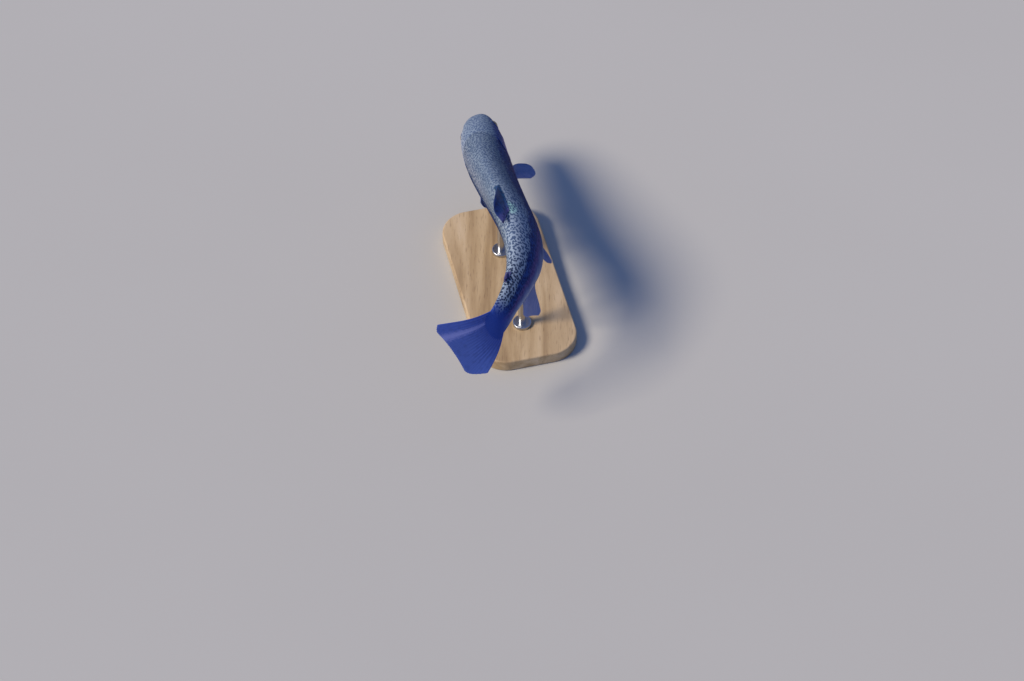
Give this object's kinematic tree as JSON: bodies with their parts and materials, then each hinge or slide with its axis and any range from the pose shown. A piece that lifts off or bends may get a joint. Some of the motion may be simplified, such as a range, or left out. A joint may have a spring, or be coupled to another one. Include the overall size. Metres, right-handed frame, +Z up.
{
  "type": "rainbow trout model",
  "caption": "Life-size speckled trout swimming nose down in a left turn, with spread tail fin, on a flat wooden base with steel rods.",
  "frame": {"origin": "middle of the display base's underside", "axes": "+Z up; the fish heads roughly towards +Y, and its right side faces +X"},
  "size_m": [0.14, 0.3605, 0.1631],
  "materials": {
    "speckled_skin": "wet, satin-gloss fish skin with small scales, blue-grey back with dense dark speckles, silver belly",
    "cheek_skin": "smooth wet skin over bone, silvery with a mauve blush",
    "fin_membrane": "thin satin membrane over fine rays, violet-grey",
    "lower_fin_membrane": "thin satin membrane over fine rays, pale lilac-grey",
    "eye": "clear glossy dome over a gold iris and black pupil",
    "oak": "sanded and oiled pale oak",
    "brushed_steel": "satin"
  },
  "bodies": {
    "root": {"head": "speckled_skin", "lower_jaw": "speckled_skin", "trunk": "speckled_skin", "tail_stalk": "speckled_skin", "gill_cover_left": "cheek_skin", "gill_cover_right": "cheek_skin", "dorsal_fin": "fin_membrane", "adipose_fin": "fin_membrane", "caudal_fin": "fin_membrane", "pectoral_fin_left": "fin_membrane", "pectoral_fin_right": "fin_membrane", "anal_fin": "lower_fin_membrane", "pelvic_fin_left": "lower_fin_membrane", "pelvic_fin_right": "lower_fin_membrane", "eye_left": "eye", "eye_right": "eye", "stand_base": "oak", "stand_rod_front": "brushed_steel", "stand_rod_rear": "brushed_steel"}
  },
  "joints": []
}
